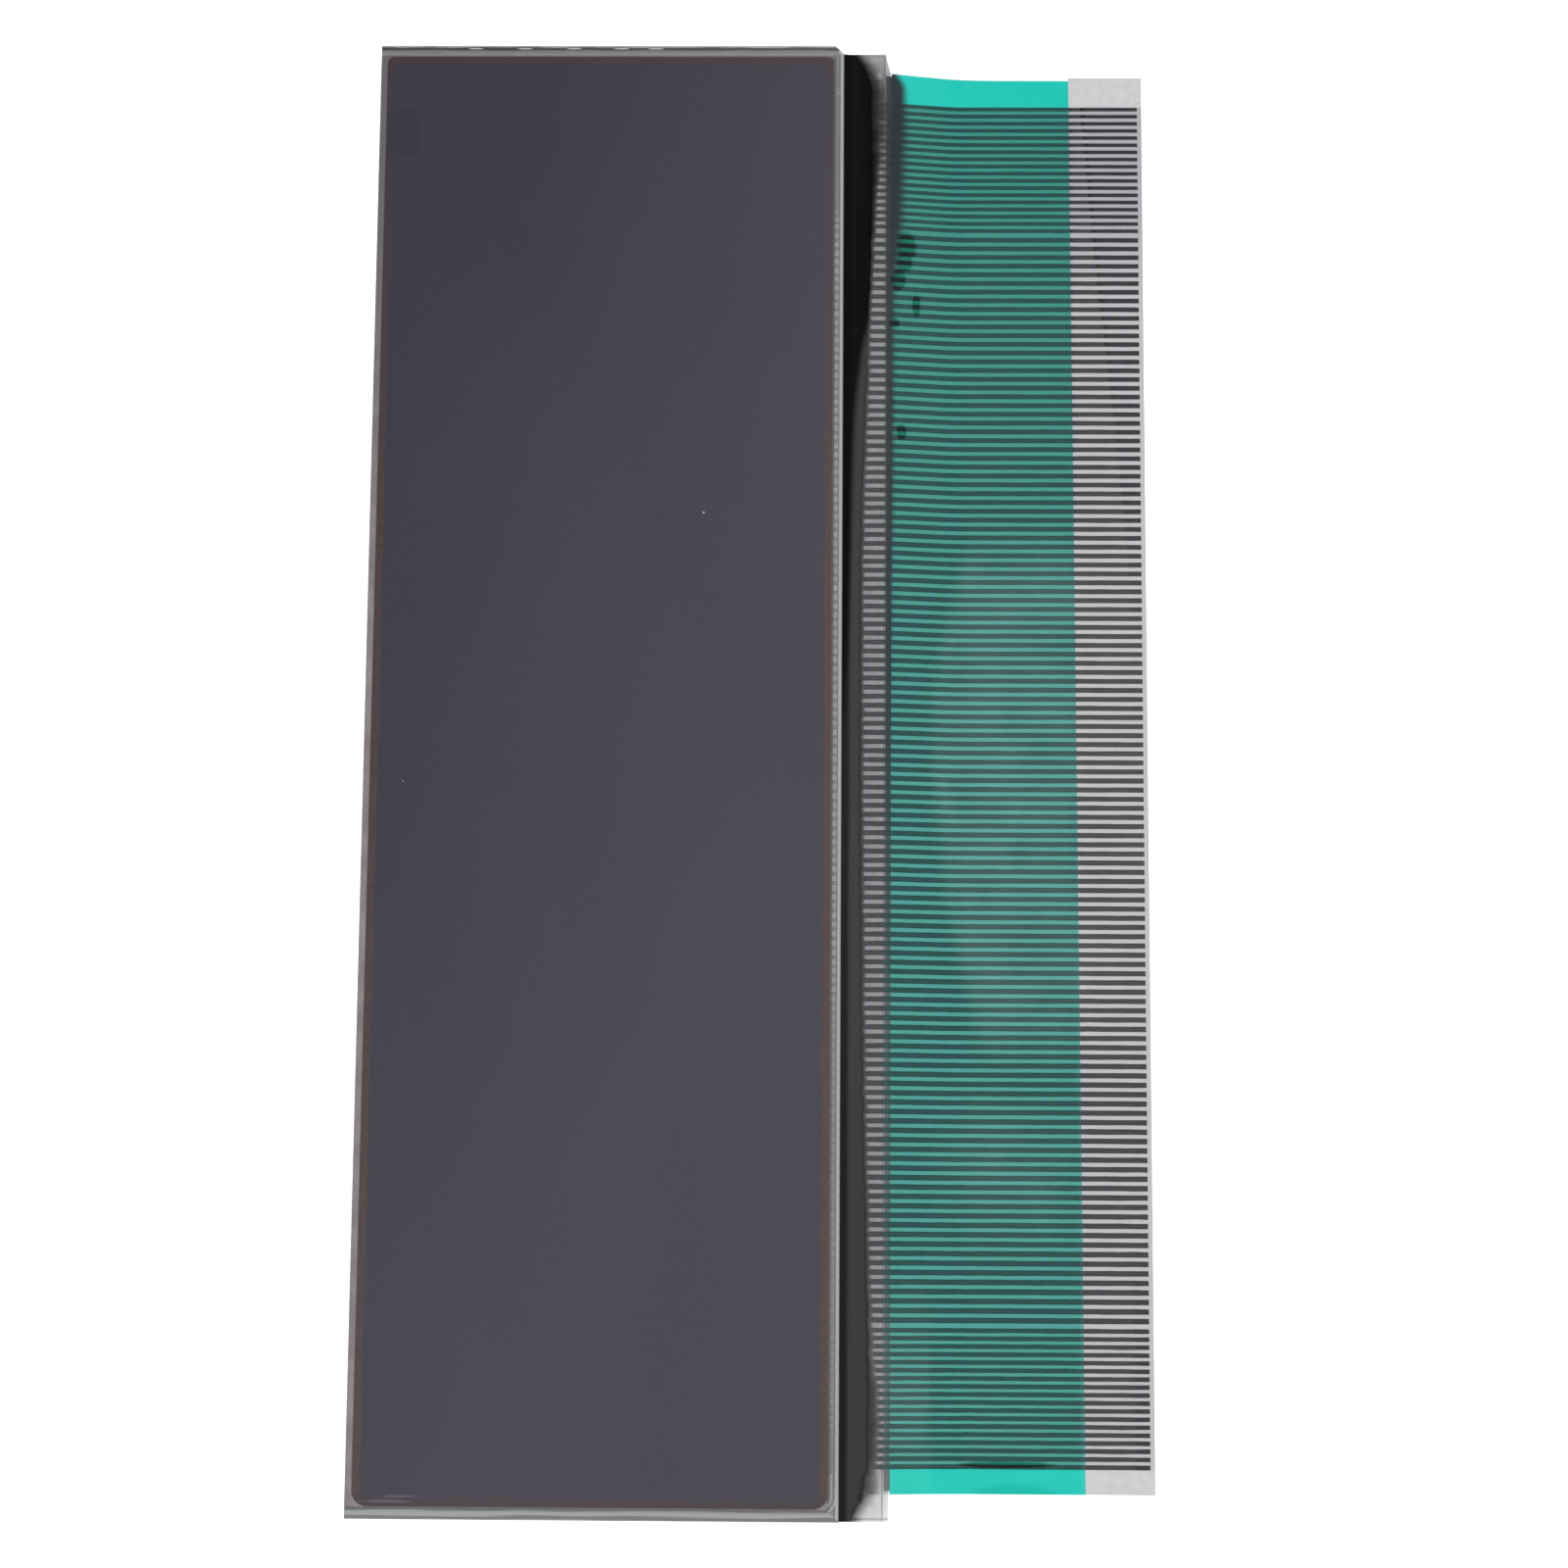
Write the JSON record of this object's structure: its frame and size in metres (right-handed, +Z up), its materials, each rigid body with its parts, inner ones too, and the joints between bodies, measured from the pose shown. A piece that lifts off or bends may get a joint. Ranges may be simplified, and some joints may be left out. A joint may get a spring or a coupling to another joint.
{
  "type": "liquid crystal display cell with ribbon connector",
  "caption": "Bare rectangular liquid crystal display cell, two glass plates with dark polarisers, and a flat green ribbon connector bonded along one long side.",
  "frame": {"origin": "centre of the whole outline seen from above, on the surface it lies on", "axes": "+X from the display towards the free tail of the ribbon, +Y along the display, +Z up out of the viewing side"},
  "size_m": [0.0512, 0.097, 0.0018],
  "materials": {
    "polariser": "glossy dark grey polarising film",
    "clear_glass": "clear float glass with ground and broken edges",
    "seal_epoxy": "brown screen-printed epoxy",
    "clear_resin": "clear light-cured resin",
    "liquid_crystal": "dark unlit liquid crystal layer",
    "transparent_conductor": "faint grey transparent conductor",
    "conductive_paste": "grey conductive paste",
    "clear_adhesive": "clear conductive adhesive",
    "clear_film": "clear glossy polyester film",
    "trace_ink": "dark grey printed conductive ink",
    "green_coverlay": "green insulating lacquer behind the clear film",
    "dark_resin": "glossy near-black sealing resin"
  },
  "bodies": {
    "root": {"front_polariser": "polariser", "front_glass": "clear_glass", "perimeter_seal": "seal_epoxy", "end_seal": "clear_resin", "liquid_crystal": "liquid_crystal", "contact_leads": "transparent_conductor", "common_tracks": "transparent_conductor", "crossover_dots": "conductive_paste", "rear_glass": "clear_glass", "rear_polariser": "polariser", "bond_adhesive": "clear_adhesive", "flex_film": "clear_film", "flex_traces": "trace_ink", "flex_coverlay": "green_coverlay", "tail_adhesive": "clear_adhesive", "step_sealant": "dark_resin", "edge_sealant": "dark_resin"}
  },
  "joints": []
}
